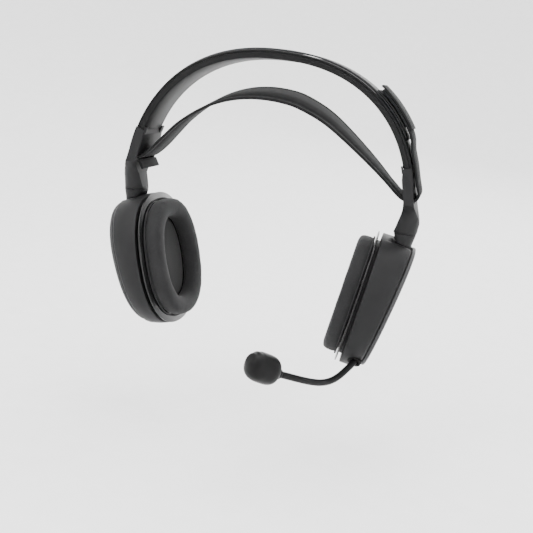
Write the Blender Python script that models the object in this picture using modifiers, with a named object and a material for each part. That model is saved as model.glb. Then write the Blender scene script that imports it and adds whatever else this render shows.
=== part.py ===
"""Over-ear headset with a suspension strap, swivelling ear cups and a gooseneck boom microphone.

The frame: the wearer faces -Y, +X is the wearer's left and +Z is up.  The origin is the
crown point, under the middle of the suspension strap.  Lengths are in metres.
"""

from math import acos, copysign, cos, pi, radians, sin, tan

import bmesh
import bpy
from mathutils import Matrix, Vector

MM = 0.001
FIT = 0.3 * MM  # clearance between pieces that touch

# Arch: a superellipse, half width and height to the middle layer's outer face
HUB_DROP = 70.3 * MM  # the arch's centre lies this far under the crown point
ARCH_HALF_WIDTH = 99.3 * MM
ARCH_HEIGHT = 99.75 * MM
ARCH_EXPONENT = 2.25
ARCH_DEPTH = 35.5 * MM  # front to back
ARCH_THICKNESS = 5.5 * MM
CHANNEL_WALL = 2.2 * MM
SPRING_THICKNESS = 1.0 * MM
SPRING_DEPTH = 22.0 * MM
SKIN_THICKNESS = 1.1 * MM
SKIN_DEPTH = 25.0 * MM
SKIN_END = radians(60)
ARCH_STEPS = 28

# Hangers, from the sleeve at the arch's end down to the swivel seam
SLEEVE_TOP = 38.2 * MM
SEAM_Z = -6.4 * MM
CLIP_DEPTH = 5.0 * MM
CLIP_RISE = 1.8 * MM
CLIP_PROUD = 0.9 * MM
CLIP_ROOT = 3.2 * MM
POD_Y = -2.5 * MM
POD_DEPTH = 17.6 * MM
SLOT_BOTTOM = 14.6 * MM
SLOT_HEIGHT = 4.0 * MM
COLUMN_SEGMENTS = 28

# Suspension strap
STRAP_WIDTH = 32.0 * MM
SLOT_SIDE_GAP = 0.8 * MM
SLOT_SIDE_WALL = 2.1 * MM
HANGER_DEPTH = STRAP_WIDTH + 2 * (SLOT_SIDE_GAP + SLOT_SIDE_WALL)
STRAP_THICKNESS = 1.8 * MM
STRAP_STACK = 4.5 * MM  # middle of the fastened strap over the arch's outer face
HOOK_THICKNESS = 0.8 * MM
TAB_THICKNESS = 1.1 * MM
TAB_START = radians(37.0)
TAB_END = radians(57.0)
ANCHOR_RADIUS = 1.6 * MM

# Swivel and tilt joints of each ear cup
PIVOT_IN = 1.8 * MM  # from the arch's half width in to the swivel axis
PIVOT_X = ARCH_HALF_WIDTH - PIVOT_IN
PIVOT_Z = -16.5 * MM
YOKE_RADIUS = 3.8 * MM
POCKET_GAP = 0.6 * MM
POCKET_WALL = 1.8 * MM
SWIVEL_PIN_RADIUS = 3.0 * MM
SWIVEL_PIN_RISE = 9.0 * MM
SWIVEL_PIN_FOOT = 2.8 * MM  # over the tilt axis
TILT_PIN_RADIUS = 0.8 * MM
TILT_PIN_FIT = 0.2 * MM
LEFT_TILT = radians(9.9)
LEFT_SWIVEL = radians(3.9)
RIGHT_TILT = radians(16.9)
RIGHT_SWIVEL = radians(8.3)

# Ear cups: the cup's centre from its tilt pivot, then outline half sizes
CUP_IN = 16.35 * MM
CUP_BACK = 2.0 * MM
CUP_DROP = 42.67 * MM
CUP_HALF_HEIGHT = 46.6 * MM
CUP_HALF_WIDTH = 37.3 * MM
CUP_EXPONENT = 2.3
CUP_THICKNESS = 17.4 * MM
CUP_WEDGE = tan(radians(5.2))
CUP_WALL = 2.2 * MM
CUP_SEGMENTS = 40
PLATE_THICKNESS = 2.6 * MM
PLATE_INSET = 3.0 * MM
FLANGE_OFFSET = 2.6 * MM
FLANGE_THICKNESS = 0.9 * MM
CUSHION_THICKNESS = 12.0 * MM
CUSHION_INSET = 4.2 * MM
CUSHION_WIDTH = 14.5 * MM
DRIVER_RADIUS = 21.0 * MM
BOARD_N = CUP_THICKNESS - 5.0 * MM  # outer faces of what hangs inside the cup's outer wall
BOARD_THICKNESS = 1.2 * MM
BATTERY_N = CUP_THICKNESS - 6.6 * MM
BATTERY_THICKNESS = 3.2 * MM

# Controls and sockets
WHEEL_RADIUS = 8.0 * MM
WHEEL_THICKNESS = 4.4 * MM
WHEEL_PROUD = 1.6 * MM
BUTTON_RADIUS = 3.0 * MM
BUTTON_PROUD = 1.2 * MM
CONTROL_N = 9.0 * MM  # controls lie in the rear wall, this far out from the cup's open side

# Boom microphone
BOOM_RADIUS = 2.2 * MM
BOOM_GAP = 0.6 * MM
BOOM_SEGMENTS = 5
BOOM_ROOT_LENGTH = 13.0 * MM
BUSH_RADIUS = 4.5 * MM
BUSH_LENGTH = 5.0 * MM
NECK_RADIUS = 3.4 * MM
NECK_LENGTH = 5.0 * MM
SCREEN_LENGTH = 22.0 * MM
SCREEN_HEIGHT = 18.8 * MM
SCREEN_DEPTH = 18.0 * MM
CAPSULE_RADIUS = 3.6 * MM
HOUSING_RADIUS = 4.6 * MM
HOUSING_LENGTH = 9.0 * MM

# Soft routes and outlines, chosen by hand, in millimetres.  Heights are from the arch's centre.
# The strap's x is a share of the arch's half width; the hanger's x is counted from that half width
# and the boom's x from the swivel axis.
STRAP_ROUTE = [(-0.9567, 16.6), (-0.9215, 17.0), (-0.8812, 19.8), (-0.8258, 25.6), (-0.7452, 35.6),
               (-0.6697, 44.6), (-0.5639, 54.0), (-0.4582, 61.2), (-0.3424, 66.6), (-0.2216, 70.0),
               (-0.0906, 71.5), (0.0403, 71.0), (0.1511, 68.8), (0.3122, 62.3), (0.4602, 53.0),
               (0.6697, 37.2), (0.8258, 23.9), (0.8812, 19.3), (0.9215, 16.9), (0.9567, 16.5),
               (0.9909, 16.7), (1.0131, 18.2), (1.0181, 21.5)]
STRAP_RISE = 0.24  # the strap's rear edge lies higher, as a slope at the crown
HEM_OUTLINE = [(7.4, 14.6), (9.1, 15.3), (12.4, 9.8), (10.8, 8.9)]
HANGER_INSIDE = [(-10.1, 29.1), (-6.9, 15.0), (-7.1, 8.5), (-8.4, 2.9), (-9.8, -2.7)]
HANGER_OUTSIDE = [(5.3, -1.7), (4.6, 3.6), (2.3, 9.0), (0.4, 13.4)]
SEAM_SPAN = (-10.9, 4.3)
HANGER_COLUMN = [(-14.0, -3.8, 8.0, -2.4, 8.6, 2.0), (-6.4, -3.8, 8.3, -2.5, 8.8, 2.0),
                 (0.0, -3.6, 8.8, -3.0, 8.8, 2.0), (5.0, -3.3, 9.0, -3.8, 8.8, 2.1),
                 (9.5, -3.4, 10.0, -2.2, 13.2, 2.6),
                 (13.4, -3.3, 13.0, 0.0, HANGER_DEPTH / 2 / MM, 6.0),
                 (15.0, -3.3, 16.0, 0.0, HANGER_DEPTH / 2 / MM + 2.1, 8.0),
                 (60.0, -14.0, 45.0, 0.0, HANGER_DEPTH / 2 / MM + 3.1, 8.0)]
YOKE_COLUMN = [(-24.0, -4.4, 5.8, -2.3, 6.8, 2.0), (-13.0, -4.2, 7.0, -2.4, 8.2, 2.0),
               (-6.4, -3.8, 8.3, -2.5, 8.8, 2.0), (0.0, -3.6, 8.8, -2.5, 8.8, 2.0)]
YOKE_INSIDE = [(-8.2, 7.6), (-6.2, 4.2), (-4.3, 1.6)]  # from the tilt axis
YOKE_OUTSIDE = [(4.1, 1.8), (4.9, 4.3), (5.6, 7.6)]
MOUTH = [(4.6, -0.5), (4.8, 1.6), (5.8, 4.3), (7.2, 7.0), (-12.2, 7.0), (-9.9, 3.6), (-7.2, 1.4),
         (-4.6, -0.9)]  # the cut in the cup's top that the yoke swings in
BOOM_ROUTE = [(-19.3, -20.0, -89.2), (-19.0, -26.0, -93.6), (-23.9, -36.0, -99.3), (-27.8, -43.0, -102.3),
              (-31.8, -50.0, -103.3), (-36.0, -57.0, -102.6), (-40.4, -63.5, -100.9),
              (-44.8, -69.5, -98.8), (-49.1, -75.0, -96.6), (-53.5, -80.0, -94.5), (-57.9, -85.0, -92.4)]
MIC_CENTRE = (-67.8, -94.0, -87.4)


# ---------------------------------------------------------------- scene helpers

def clear_scene():
    """Remove every object that the file starts with."""
    for item in list(bpy.data.objects):
        bpy.data.objects.remove(item)


def collection(name):
    """A new collection in the scene."""
    made = bpy.data.collections.new(name)
    bpy.context.scene.collection.children.link(made)
    return made


def material(name, colour, roughness, metallic=0.0):
    """A Principled material."""
    made = bpy.data.materials.new(name)
    made.use_nodes = True
    shader = made.node_tree.nodes["Principled BSDF"]
    shader.inputs["Base Color"].default_value = (*colour, 1.0)
    shader.inputs["Roughness"].default_value = roughness
    shader.inputs["Metallic"].default_value = metallic
    return made


def empty(name, parent=None, location=(0, 0, 0), rotation=(0, 0, 0)):
    """An empty that carries a group of parts."""
    made = bpy.data.objects.new(name, None)
    made.location = location
    made.rotation_euler = rotation
    made.parent = parent
    PARTS.objects.link(made)
    return made


def finish(name, bm, shade, parent, cutter=False):
    """Turn a bmesh into a named object with its faces out."""
    bmesh.ops.recalc_face_normals(bm, faces=bm.faces)
    mesh = bpy.data.meshes.new(name)
    bm.to_mesh(mesh)
    bm.free()
    made = bpy.data.objects.new(name, mesh)
    made.parent = parent
    if cutter:
        made.hide_render = True
        made.display_type = "WIRE"
        CUTTERS.objects.link(made)
        return made
    mesh.materials.append(shade)
    mesh.shade_smooth()
    mesh.set_sharp_from_angle(angle=radians(35))
    PARTS.objects.link(made)
    return made


def boolean(target, other, operation):
    """Add a Boolean modifier to the target."""
    modifier = target.modifiers.new(operation.lower(), "BOOLEAN")
    modifier.operation = operation
    modifier.object = other


# ---------------------------------------------------------------- shape helpers

def spline_through(points, per_span):
    """Points along a Catmull-Rom curve through the given points, of any dimension."""
    points = [Vector(p) for p in points]
    ends = [2 * points[0] - points[1]] + points + [2 * points[-1] - points[-2]]
    made = []
    for before, start, stop, after in zip(ends, ends[1:], ends[2:], ends[3:]):
        for step in range(per_span):
            t = step / per_span
            made.append(0.5 * (2 * start + (stop - before) * t
                               + (2 * before - 5 * start + 4 * stop - after) * t ** 2
                               + (3 * start - before - 3 * stop + after) * t ** 3))
    return made + [points[-1]]


def arch_point(angle, offset):
    """A point (x, z) on the arch, at an angle from the top and an offset outward."""
    power = 2 / ARCH_EXPONENT
    x = ARCH_HALF_WIDTH * copysign(abs(sin(angle)) ** power, sin(angle))
    z = ARCH_HEIGHT * abs(cos(angle)) ** power
    slope = Vector((copysign(abs(x / ARCH_HALF_WIDTH) ** (ARCH_EXPONENT - 1), x) / ARCH_HALF_WIDTH,
                    abs(z / ARCH_HEIGHT) ** (ARCH_EXPONENT - 1) / ARCH_HEIGHT)).normalized()
    return Vector((x, z)) + offset * slope


def arch_angle(height):
    """The arch's angle from the top where it comes down to a height."""
    return acos((height / ARCH_HEIGHT) ** (ARCH_EXPONENT / 2))


def arch_band(start, stop, inner, outer, steps):
    """The outline of a layer of the arch between two offsets."""
    angles = [start + (stop - start) * i / steps for i in range(steps + 1)]
    return ([arch_point(a, outer) for a in angles]
            + [arch_point(a, inner) for a in reversed(angles)])


def prism(name, outline, y_low, y_high, shade=None, parent=None, cutter=False):
    """A flat outline in the XZ plane, extruded along Y."""
    curve = bpy.data.curves.new(name, "CURVE")
    curve.dimensions = "2D"
    curve.fill_mode = "BOTH"
    curve.extrude = (y_high - y_low) / 2
    spline = curve.splines.new("POLY")
    spline.points.add(len(outline) - 1)
    for point, (x, z) in zip(spline.points, outline):
        point.co = (x, z, 0, 1)
    spline.use_cyclic_u = True
    holder = bpy.data.objects.new(name + "_outline", curve)
    CUTTERS.objects.link(holder)
    holder.matrix_world = Matrix.Translation((0, (y_low + y_high) / 2, 0)) @ Matrix.Rotation(pi / 2, 4, "X")
    graph = bpy.context.evaluated_depsgraph_get()
    mesh = bpy.data.meshes.new_from_object(holder.evaluated_get(graph))
    mesh.transform(holder.matrix_world)
    bpy.data.objects.remove(holder)
    bm = bmesh.new()
    bm.from_mesh(mesh)
    bmesh.ops.remove_doubles(bm, verts=bm.verts, dist=0.00001)
    bpy.data.meshes.remove(mesh)
    return finish(name, bm, shade, parent, cutter)


def block(name, low, high, shade=None, parent=None, cutter=False):
    """A box between two corners."""
    bm = bmesh.new()
    bmesh.ops.create_cube(bm, size=1.0)
    low, high = Vector(low), Vector(high)
    bmesh.ops.scale(bm, vec=high - low, verts=bm.verts)
    bmesh.ops.translate(bm, vec=(low + high) / 2, verts=bm.verts)
    return finish(name, bm, shade, parent, cutter)


def rod(name, start, stop, radius, segments=24, shade=None, parent=None, cutter=False, end_radius=None):
    """A round rod or cone between two points."""
    start, stop = Vector(start), Vector(stop)
    along = stop - start
    turn = along.to_track_quat("Z", "Y").to_matrix().to_4x4()
    bm = bmesh.new()
    bmesh.ops.create_cone(bm, cap_ends=True, segments=segments, radius1=radius,
                          radius2=radius if end_radius is None else end_radius, depth=along.length,
                          matrix=Matrix.Translation((start + stop) / 2) @ turn)
    return finish(name, bm, shade, parent, cutter)


def tube(name, route, radius, shade, parent):
    """A round tube along a route of points, with filled ends."""
    curve = bpy.data.curves.new(name, "CURVE")
    curve.dimensions = "3D"
    curve.bevel_depth = radius
    curve.bevel_resolution = 2
    curve.use_fill_caps = True
    spline = curve.splines.new("POLY")
    spline.points.add(len(route) - 1)
    for point, place in zip(spline.points, route):
        point.co = (*place, 1)
    holder = bpy.data.objects.new(name + "_route", curve)
    CUTTERS.objects.link(holder)
    graph = bpy.context.evaluated_depsgraph_get()
    mesh = bpy.data.meshes.new_from_object(holder.evaluated_get(graph))
    bpy.data.objects.remove(holder)
    bm = bmesh.new()
    bm.from_mesh(mesh)
    bmesh.ops.remove_doubles(bm, verts=bm.verts, dist=0.000001)
    bpy.data.meshes.remove(mesh)
    return finish(name, bm, shade, parent)


def loft(name, rings, shade=None, parent=None, cutter=False, closed=False):
    """A skin over rings of points: capped at both ends, or closed into a ring shape."""
    bm = bmesh.new()
    rows = [[bm.verts.new(p) for p in ring] for ring in rings]
    pairs = list(zip(rows, rows[1:])) + ([(rows[-1], rows[0])] if closed else [])
    for row, after in pairs:
        for i in range(len(row)):
            j = (i + 1) % len(row)
            bm.faces.new((row[i], row[j], after[j], after[i]))
    if not closed:
        bm.faces.new(reversed(rows[0]))
        bm.faces.new(rows[-1])
    return finish(name, bm, shade, parent, cutter)


def turned(name, profile, centre, axis, segments, shade, parent):
    """A turned shape: (radius, height) pairs from the top down the outer side, by a Screw modifier."""
    bm = bmesh.new()
    verts = [bm.verts.new((r, 0, h)) for r, h in profile]
    for a, b in zip(verts, verts[1:]):
        bm.edges.new((a, b))
    mesh = bpy.data.meshes.new(name)
    bm.to_mesh(mesh)
    bm.free()
    mesh.materials.append(shade)
    made = bpy.data.objects.new(name, mesh)
    made.parent = parent
    made.location = centre
    made.rotation_euler = Vector(axis).to_track_quat("Z", "Y").to_euler()
    screw = made.modifiers.new("turn", "SCREW")
    screw.axis = "Z"
    screw.steps = segments
    screw.render_steps = segments
    screw.use_merge_vertices = True
    screw.merge_threshold = 0.000005
    screw.use_smooth_shade = True
    PARTS.objects.link(made)
    return made


# ---------------------------------------------------------------- headband

def build_arch(parent):
    """The arch: a channel, the spring strip laid in it and the outer skin over it."""
    end = arch_angle(SLEEVE_TOP)
    half = ARCH_DEPTH / 2
    channel = prism("arch_channel", arch_band(-end, end, -ARCH_THICKNESS, 0, ARCH_STEPS), -half, half,
                    BLACK_METAL, parent)
    floor = -ARCH_THICKNESS + CHANNEL_WALL
    covered = SKIN_END - radians(1.5)
    laid = SKIN_END - radians(2.0)
    hollow = prism("channel_hollow", arch_band(-covered, covered, floor, FIT * 4, ARCH_STEPS),
                   -SPRING_DEPTH / 2 - FIT, SPRING_DEPTH / 2 + FIT, cutter=True, parent=parent)
    boolean(channel, hollow, "DIFFERENCE")
    prism("arch_spring_strip",
          arch_band(-laid, laid, floor + FIT, floor + FIT + SPRING_THICKNESS, ARCH_STEPS),
          -SPRING_DEPTH / 2, SPRING_DEPTH / 2, STEEL, parent)
    prism("arch_outer_skin", arch_band(-SKIN_END, SKIN_END, FIT, FIT + SKIN_THICKNESS, ARCH_STEPS),
          -SKIN_DEPTH / 2, SKIN_DEPTH / 2, GREY_PLASTIC, parent)


def from_arch_side(x, z):
    """A point given in millimetres from the arch's half width, in metres from its centre."""
    return Vector((ARCH_HALF_WIDTH + x * MM, z * MM))


def hanger_outline(side):
    """The hanger's front view, from the arch's end down to the swivel seam."""
    top = arch_angle(SLEEVE_TOP - FIT)
    arm = [arch_point(top + (radians(80) - top) * i / 4, 0) for i in range(5)]
    inside = [arch_point(top, -ARCH_THICKNESS)] + [from_arch_side(*p) for p in HANGER_INSIDE]
    outside = [from_arch_side(*p) for p in HANGER_OUTSIDE]
    seam = [from_arch_side(x, SEAM_Z / MM) for x in SEAM_SPAN]
    half = spline_through(inside + seam[:1], 3)
    other = spline_through(seam[1:] + outside + arm[::-1], 3)
    return [Vector((side * p.x, p.y)) for p in half + other]


def build_hanger(name, side, parent):
    """A hanger: sleeve end, strap slot, waist and the pod over the swivel seam."""
    half = HANGER_DEPTH / 2
    body = prism(name, hanger_outline(side), -half, half, GRAPHITE, parent)
    boolean(body, column(name + "_column", side, HANGER_COLUMN, Vector(), parent), "INTERSECT")
    wide = STRAP_WIDTH / 2 + SLOT_SIDE_GAP
    slot = block(name + "_slot", (side * (ARCH_HALF_WIDTH - 15 * MM), -wide, SLOT_BOTTOM),
                 (side * (ARCH_HALF_WIDTH + 9 * MM), wide, SLOT_BOTTOM + SLOT_HEIGHT),
                 cutter=True, parent=parent)
    boolean(body, slot, "DIFFERENCE")
    bore = rod(name + "_bore", (side * PIVOT_X, POD_Y, SEAM_Z - 4 * MM),
               (side * PIVOT_X, POD_Y, SEAM_Z + SWIVEL_PIN_RISE + FIT), SWIVEL_PIN_RADIUS + FIT,
               cutter=True, parent=parent)
    boolean(body, bore, "DIFFERENCE")
    for end in (-1, 1):
        clip = clip_solid(f"{name}_clip_{end + 1}", side, end, parent)
        boolean(body, clip, "UNION")


def column(name, side, rings, shift, parent):
    """A tall rounded column, from rings of (z, middle x, half x, middle y, half y, squareness)."""
    made = []
    for z, middle_x, half_x, middle_y, half_y, squareness in rings:
        power = 2 / squareness
        ring = []
        for i in range(COLUMN_SEGMENTS):
            angle = 2 * pi * i / COLUMN_SEGMENTS
            x = middle_x + half_x * copysign(abs(cos(angle)) ** power, cos(angle))
            y = middle_y + half_y * copysign(abs(sin(angle)) ** power, sin(angle))
            ring.append(Vector((side * (ARCH_HALF_WIDTH + x * MM), y * MM, z * MM)) - shift)
        made.append(ring)
    return loft(name, made, cutter=True, parent=parent)


def clip_solid(name, side, end, parent):
    """A small clip at a corner of the sleeve, lapping the arch's inner face."""
    top = arch_angle(SLEEVE_TOP - FIT - 0.4 * MM)
    high = arch_angle(SLEEVE_TOP + CLIP_RISE)
    low = arch_angle(SLEEVE_TOP - CLIP_ROOT)
    face = -ARCH_THICKNESS
    proud = face - FIT - CLIP_PROUD
    corners = [(low, face + MM), (low, proud), (high, proud), (high, face - FIT), (top, face - FIT),
               (top, face + MM)]
    outline = [arch_point(angle, offset) for angle, offset in corners]
    outline = [(side * p.x, p.y) for p in outline]
    outer = end * (HANGER_DEPTH / 2 - 0.2 * MM)
    inner = outer - end * CLIP_DEPTH
    return prism(name, outline, min(outer, inner), max(outer, inner), cutter=True, parent=parent)


# ---------------------------------------------------------------- strap

def strap_path():
    """The strap's middle line, through both slots and up the outside of the left hanger."""
    crown = [Vector((x * ARCH_HALF_WIDTH, z * MM)) for x, z in STRAP_ROUTE]
    lead = [(radians(76), 2.2 * MM), (radians(70), 2.0 * MM), (radians(64.5), 2.2 * MM),
            (radians(60.5), 3.9 * MM), (radians(57), STRAP_STACK), (radians(50), STRAP_STACK),
            (radians(43.5), STRAP_STACK), (TAB_START - radians(1.4), STRAP_STACK)]
    return spline_through(crown + [arch_point(a, o) for a, o in lead], 2)


def strap_rise(x):
    """How steeply the strap's rear edge rises at a place across the head."""
    near = max(0.0, 1 - (x / (0.8 * ARCH_HALF_WIDTH)) ** 2)
    return STRAP_RISE * near


def build_strap(parent):
    """The elastic strap, an open sheet made solid, with its fastening pieces."""
    path = strap_path()
    half = STRAP_WIDTH / 2
    bm = bmesh.new()
    rows = []
    for index, point in enumerate(path):
        rise = strap_rise(point.x) if index < len(STRAP_ROUTE) * 2 else 0.0
        rows.append([bm.verts.new((point.x, y, point.y + rise * y)) for y in (-half, half)])
    for row, after in zip(rows, rows[1:]):
        bm.faces.new((row[0], row[1], after[1], after[0]))
    strap = finish("suspension_strap", bm, FABRIC, parent)
    solid = strap.modifiers.new("thickness", "SOLIDIFY")
    solid.thickness = STRAP_THICKNESS
    solid.offset = 0.0
    half = STRAP_WIDTH / 2
    hook_low = FIT * 2 + SKIN_THICKNESS
    prism("hook_patch_left", arch_band(TAB_START, radians(55), hook_low, hook_low + HOOK_THICKNESS, 10),
          -SKIN_DEPTH / 2, SKIN_DEPTH / 2, HOOK, parent)
    tab_low = STRAP_STACK + STRAP_THICKNESS / 2 + FIT
    prism("strap_tab_left", arch_band(TAB_START, TAB_END, tab_low, tab_low + TAB_THICKNESS, 10),
          -half, half, FABRIC, parent)
    hem = [(x * MM - ARCH_HALF_WIDTH, z * MM) for x, z in HEM_OUTLINE]
    prism("strap_hem_right", hem, -half, half, FABRIC, parent)
    anchor_x = STRAP_ROUTE[0][0] * ARCH_HALF_WIDTH - FIT - ANCHOR_RADIUS
    anchor_z = STRAP_ROUTE[0][1] * MM
    rod("strap_anchor_right", (anchor_x, -half + MM, anchor_z), (anchor_x, half - MM, anchor_z),
        ANCHOR_RADIUS, 16, BLACK_PLASTIC, parent)


# ---------------------------------------------------------------- cup joints

def yoke_outline(side):
    """The swivel yoke's front view: the seam on top and a round end on the tilt axis."""
    top = SEAM_Z - FIT - PIVOT_Z
    turns = [radians(-90 + 18 * i) for i in range(11)]
    low = [(YOKE_RADIUS * sin(a), -YOKE_RADIUS * cos(a)) for a in turns]
    inside = [(x * MM, z * MM) for x, z in YOKE_INSIDE]
    outside = [(x * MM, z * MM) for x, z in YOKE_OUTSIDE]
    seam = [ARCH_HALF_WIDTH + x * MM - PIVOT_X for x in SEAM_SPAN]
    points = [(seam[0] + FIT, top)] + inside + low + outside + [(seam[1] - FIT, top)]
    return [(side * x, z) for x, z in points]


def build_yoke(word, side, swing):
    """The yoke that turns under the hanger, with its swivel pin."""
    low, high = POD_Y - POD_DEPTH / 2, POD_Y + POD_DEPTH / 2
    yoke = prism("swivel_yoke_" + word, yoke_outline(side), low - POD_Y, high - POD_Y, GRAPHITE, swing)
    shift = Vector((side * PIVOT_X, POD_Y, PIVOT_Z))
    boolean(yoke, column(f"yoke_{word}_column", side, YOKE_COLUMN, shift, swing), "INTERSECT")
    bore = rod(f"yoke_{word}_swivel_bore", (0, 0, SWIVEL_PIN_FOOT - FIT), (0, 0, SEAM_Z - PIVOT_Z + 2 * MM),
               SWIVEL_PIN_RADIUS + FIT, cutter=True, parent=swing)
    boolean(yoke, bore, "DIFFERENCE")
    cross = rod(f"yoke_{word}_tilt_bore", (0, -20 * MM, 0), (0, 20 * MM, 0), TILT_PIN_RADIUS + TILT_PIN_FIT,
                16, cutter=True, parent=swing)
    boolean(yoke, cross, "DIFFERENCE")
    rise = SEAM_Z - PIVOT_Z + SWIVEL_PIN_RISE
    rod("swivel_pin_" + word, (0, 0, SWIVEL_PIN_FOOT), (0, 0, rise), SWIVEL_PIN_RADIUS, 24, STEEL, swing)


def build_tilt_pin(word, cup):
    """The pin across the pocket that the cup tilts on."""
    reach = POD_DEPTH / 2 + POCKET_GAP + POCKET_WALL * 0.8
    rod("tilt_pin_" + word, (0, -reach, 0), (0, reach, 0), TILT_PIN_RADIUS, 16, STEEL, cup)


# ---------------------------------------------------------------- ear cups

def oval(side, n, half_height, half_width, wedge=0.0, segments=None, exponent=None):
    """A ring of points round the cup's centre, n out from its open side."""
    count = segments or CUP_SEGMENTS
    power = 2 / (exponent or CUP_EXPONENT)
    ring = []
    for i in range(count):
        angle = 2 * pi * i / count
        y = half_width * copysign(abs(cos(angle)) ** power, cos(angle))
        v = half_height * copysign(abs(sin(angle)) ** power, sin(angle))
        x = n + wedge * CUP_WEDGE * v - CUP_IN
        ring.append(Vector((side * x, y + CUP_BACK, v - CUP_DROP)))
    return ring


def shell_rings(side, inset, n_start, n_end):
    """Rings of the cup's body, or of its hollow when inset by the wall."""
    height, width = CUP_HALF_HEIGHT - inset, CUP_HALF_WIDTH - inset
    depth = n_end - n_start
    return [oval(side, n_start, height, width),
            oval(side, n_start + depth * 0.45, height, width, 0.45),
            oval(side, n_end - 2.2 * MM, height - 0.8 * MM, width - 0.8 * MM, 0.9),
            oval(side, n_end - 0.7 * MM, height - 1.9 * MM, width - 1.9 * MM, 0.97),
            oval(side, n_end, height - 3.4 * MM, width - 3.4 * MM, 1.0)]


def mouth_outline(side, wall):
    """The cut in the cup's top that the yoke swings in, or its outside with a wall."""
    middle = Vector((-1.5 * MM, 5.0 * MM))
    points = []
    for x, z in MOUTH:
        point = Vector((x * MM, z * MM))
        points.append(point + wall * (point - middle).normalized())
    return [(side * p.x, p.y) for p in points]


def build_shell(word, side, cup):
    """The cup's body: hollow, open towards the ear, with a pocket for the yoke at its top."""
    shell = loft("cup_shell_" + word, shell_rings(side, 0, 0, CUP_THICKNESS), GRAPHITE, cup)
    mouth_of_hollow = oval(side, -3 * MM, CUP_HALF_HEIGHT - CUP_WALL, CUP_HALF_WIDTH - CUP_WALL)
    rings = [mouth_of_hollow] + shell_rings(side, CUP_WALL, FIT, CUP_THICKNESS - CUP_WALL)
    hollow = loft(f"hollow_{word}", rings, cutter=True, parent=cup)
    inner = POD_DEPTH / 2 + POCKET_GAP
    outer = inner + POCKET_WALL
    radius = YOKE_RADIUS + POCKET_GAP
    boss = rod(f"pocket_{word}_boss", (0, -outer, 0), (0, outer, 0), radius + POCKET_WALL, 28, cutter=True,
               parent=cup)
    boolean(hollow, boss, "DIFFERENCE")
    cover = prism(f"mouth_{word}_wall", mouth_outline(side, POCKET_WALL), -outer, outer, cutter=True,
                  parent=cup)
    boolean(hollow, cover, "DIFFERENCE")
    boolean(shell, hollow, "DIFFERENCE")
    pocket = rod(f"pocket_{word}_space", (0, -inner, 0), (0, inner, 0), radius, 28, cutter=True,
                 parent=cup)
    boolean(shell, pocket, "DIFFERENCE")
    mouth = prism(f"mouth_{word}", mouth_outline(side, 0), -inner, inner, cutter=True, parent=cup)
    boolean(shell, mouth, "DIFFERENCE")
    deep = inner + POCKET_WALL * 0.9
    cross = rod(f"shell_{word}_tilt_bore", (0, -deep, 0), (0, deep, 0), TILT_PIN_RADIUS + TILT_PIN_FIT, 16,
                cutter=True, parent=cup)
    boolean(shell, cross, "DIFFERENCE")
    return shell


def build_cup_pieces(word, side, cup):
    """The speaker plate outside the body and everything on its ear side."""
    height, width = CUP_HALF_HEIGHT - PLATE_INSET, CUP_HALF_WIDTH - PLATE_INSET
    low = CUP_THICKNESS + FIT
    loft("speaker_plate_" + word,
         [oval(side, low, height - 1.2 * MM, width - 1.2 * MM, 1),
          oval(side, low + 0.7 * MM, height, width, 1),
          oval(side, low + PLATE_THICKNESS - 0.8 * MM, height, width, 1),
          oval(side, low + PLATE_THICKNESS, height - 1.2 * MM, width - 1.2 * MM, 1)], PLATE, cup)
    hub = CUP_WALL + 2 * FIT
    mouth_height, mouth_width = CUP_HALF_HEIGHT - hub, CUP_HALF_WIDTH - hub
    baffle_hole = DRIVER_RADIUS + FIT
    loft("baffle_" + word,
         [oval(side, -FLANGE_OFFSET + FIT, mouth_height - 3 * MM, mouth_width - 3 * MM),
          oval(side, -0.2 * MM, mouth_height - 3 * MM, mouth_width - 3 * MM),
          oval(side, 0.2 * MM, mouth_height - 0.6 * MM, mouth_width - 0.6 * MM),
          oval(side, 1.8 * MM, mouth_height - 0.6 * MM, mouth_width - 0.6 * MM),
          oval(side, 1.8 * MM, baffle_hole, baffle_hole, exponent=2),
          oval(side, -FLANGE_OFFSET + FIT, baffle_hole, baffle_hole, exponent=2)],
         BLACK_PLASTIC, cup, closed=True)
    opening = CUSHION_INSET + CUSHION_WIDTH
    open_height, open_width = CUP_HALF_HEIGHT - opening, CUP_HALF_WIDTH - opening
    lip = -FLANGE_OFFSET
    loft("cushion_flange_" + word,
         [oval(side, lip - FLANGE_THICKNESS, CUP_HALF_HEIGHT, CUP_HALF_WIDTH),
          oval(side, lip, CUP_HALF_HEIGHT, CUP_HALF_WIDTH),
          oval(side, lip, open_height + 3 * MM, open_width + 3 * MM),
          oval(side, lip - FLANGE_THICKNESS, open_height + 3 * MM, open_width + 3 * MM)],
         GLOSS_BLACK, cup, closed=True)
    build_cushion(word, side, cup, lip - FLANGE_THICKNESS - FIT, open_height, open_width)
    build_driver(word, side, cup)


def build_cushion(word, side, cup, back, open_height, open_width):
    """The ear cushion, a padded ring."""
    height, width = CUP_HALF_HEIGHT - CUSHION_INSET, CUP_HALF_WIDTH - CUSHION_INSET
    face = back - CUSHION_THICKNESS
    loft("ear_cushion_" + word,
         [oval(side, back, height - MM, width - MM),
          oval(side, back - 2.2 * MM, height, width),
          oval(side, face + 3.2 * MM, height - 0.5 * MM, width - 0.5 * MM),
          oval(side, face, height - 5.0 * MM, width - 5.0 * MM),
          oval(side, face, open_height + 4.4 * MM, open_width + 4.4 * MM),
          oval(side, face + 1.6 * MM, open_height + 1.4 * MM, open_width + 1.4 * MM),
          oval(side, face + 4.6 * MM, open_height, open_width),
          oval(side, back, open_height, open_width)], LEATHERETTE, cup, closed=True)


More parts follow.
